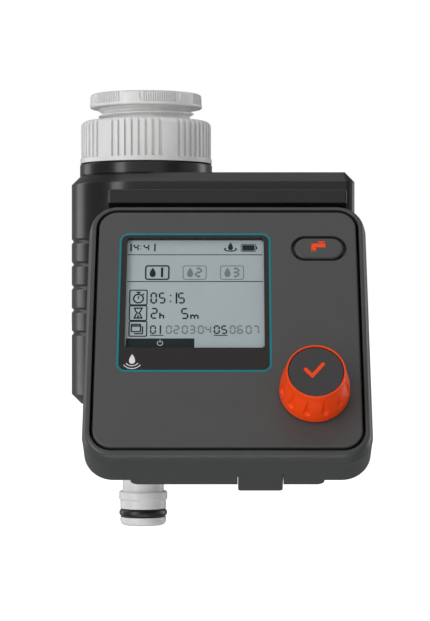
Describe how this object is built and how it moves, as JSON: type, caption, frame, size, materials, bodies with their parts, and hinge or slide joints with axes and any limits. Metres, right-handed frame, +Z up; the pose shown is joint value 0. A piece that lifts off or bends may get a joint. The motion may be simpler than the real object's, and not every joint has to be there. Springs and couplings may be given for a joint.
{
  "type": "tap-mounted irrigation timer",
  "caption": "Battery-run tap timer for drip irrigation: union nut inlet, pilot-solenoid diaphragm valve, pull-off control unit with display, button and knob, quick-connect outlet.",
  "frame": {"origin": "centre of the tap adapter's top mouth", "axes": "+Z up along the water line and out of the adapter's mouth, -Y the front with the display, +X the right-hand side seen from the front"},
  "size_m": [0.1007, 0.1124, 0.1504],
  "materials": {
    "connector_grey": "satin light grey plastic",
    "housing_black": "semi-gloss black plastic",
    "bezel_grey": "satin dark grey plastic",
    "panel_grey": "fine matt dark grey plastic",
    "teal_trim": "teal plastic",
    "mask_black": "printed black border",
    "clear_lens": "clear window",
    "lcd_glass": "display glass",
    "white_plastic": "white moulding",
    "zebra_rubber": "layered contact rubber",
    "orange_plastic": "orange plastic",
    "cap_black": "satin dark grey plastic",
    "black_rubber": "seal rubber",
    "red_rubber": "silicone",
    "valve_plastic": "glass-filled valve plastic",
    "natural_plastic": "natural plastic",
    "steel": "stainless steel",
    "copper": "enamelled copper winding",
    "gold_contact": "gold-plated contact",
    "magnet_metal": "ferrite magnet",
    "board_green": "circuit board",
    "chip_black": "chip package",
    "battery_wrap": "plain battery wrap",
    "wire_red": "wire insulation"
  },
  "bodies": {
    "valve_housing": {"inlet_seal": "black_rubber", "inlet_filter": "natural_plastic", "valve_body": "valve_plastic", "diaphragm": "red_rubber", "valve_bonnet": "valve_plastic", "bonnet_screws": "steel", "diaphragm_spring": "steel", "solenoid_bobbin": "natural_plastic", "solenoid_coil": "copper", "solenoid_yoke": "steel", "solenoid_core": "steel", "solenoid_magnet": "magnet_metal", "plunger_spring": "steel", "solenoid_leads": "wire_red", "front_housing": "housing_black", "rear_housing": "housing_black", "housing_screws": "steel", "dock_contact_block": "natural_plastic", "dock_contacts": "gold_contact", "outlet_nipple": "connector_grey", "nipple_seal": "black_rubber", "outlet_o_ring": "black_rubber"},
    "union_nut": {"union_nut": "connector_grey"},
    "adapter_seal": {"adapter_seal": "black_rubber"},
    "tap_adapter": {"tap_adapter": "connector_grey"},
    "diaphragm_disc": {"diaphragm_disc": "natural_plastic"},
    "solenoid_plunger": {"solenoid_plunger": "steel", "plunger_seal": "red_rubber"},
    "control_unit": {"front_bezel": "bezel_grey", "front_panel": "panel_grey", "display_trim": "teal_trim", "display_mask": "mask_black", "display_lens": "clear_lens", "lcd_module": "lcd_glass", "lcd_holder": "white_plastic", "zebra_strips": "zebra_rubber", "tact_switch": "chip_black", "encoder_body": "chip_black", "circuit_board": "board_green", "board_chips": "chip_black", "rear_shell": "bezel_grey", "shell_gasket": "black_rubber", "shell_screws": "steel", "unit_contacts": "gold_contact", "battery": "battery_wrap", "battery_clip": "chip_black", "battery_door": "bezel_grey", "latch_spring": "steel"},
    "manual_button": {"manual_button": "panel_grey", "button_symbol": "orange_plastic"},
    "knob": {"knob_ring": "orange_plastic"},
    "ok_cap": {"ok_cap": "cap_black", "check_symbol": "orange_plastic"},
    "release_latch": {"release_latch": "bezel_grey"}
  },
  "joints": [
    {"name": "union_nut_turn", "type": "hinge", "parent": "valve_housing", "child": "union_nut", "pos_m": [0, 0, -0.017], "axis": [0, 0, 1], "continuous": true},
    {"name": "adapter_lift", "type": "slide", "parent": "union_nut", "child": "adapter_seal", "axis": [0, 0, 1], "range_m": [0, 0.00923]},
    {"name": "adapter_turn", "type": "hinge", "parent": "adapter_seal", "child": "tap_adapter", "pos_m": [0, 0, -0.01], "axis": [0, 0, 1], "range_deg": [0, 1440]},
    {"name": "control_unit_pull", "type": "slide", "parent": "valve_housing", "child": "control_unit", "axis": [0, -0.866, 0.5], "range_m": [0, 0.04]},
    {"name": "manual_button_press", "type": "slide", "parent": "control_unit", "child": "manual_button", "axis": [0, 0.866, -0.5], "range_m": [0, 0.001], "stiffness_N_per_m": 900, "springref_m": -0.0006},
    {"name": "knob_turn", "type": "hinge", "parent": "control_unit", "child": "knob", "pos_m": [0.0562, -0.07, -0.10118], "axis": [0, -0.866, 0.5], "continuous": true},
    {"name": "ok_press", "type": "slide", "parent": "control_unit", "child": "ok_cap", "axis": [0, 0.866, -0.5], "range_m": [0, 0.0008], "stiffness_N_per_m": 900, "springref_m": -0.0006},
    {"name": "release_latch_press", "type": "slide", "parent": "control_unit", "child": "release_latch", "axis": [0, -0.5, -0.866], "range_m": [0, 0.0012], "stiffness_N_per_m": 900, "springref_m": -0.0006, "deforming": ["latch_spring"]},
    {"name": "diaphragm_lift", "type": "slide", "parent": "valve_housing", "child": "diaphragm_disc", "axis": [1, 0, 0], "range_m": [0, 0.0025], "stiffness_N_per_m": 600, "springref_m": -0.001, "deforming": ["diaphragm_spring", "diaphragm"]},
    {"name": "plunger_lift", "type": "slide", "parent": "valve_housing", "child": "solenoid_plunger", "axis": [1, 0, 0], "range_m": [0, 0.0012], "stiffness_N_per_m": 500, "springref_m": -0.0008, "deforming": ["plunger_spring"]}
  ],
  "couplings": [
    {"joint": "adapter_turn", "follows": "adapter_lift", "rad_per_m": 2721.2}
  ]
}
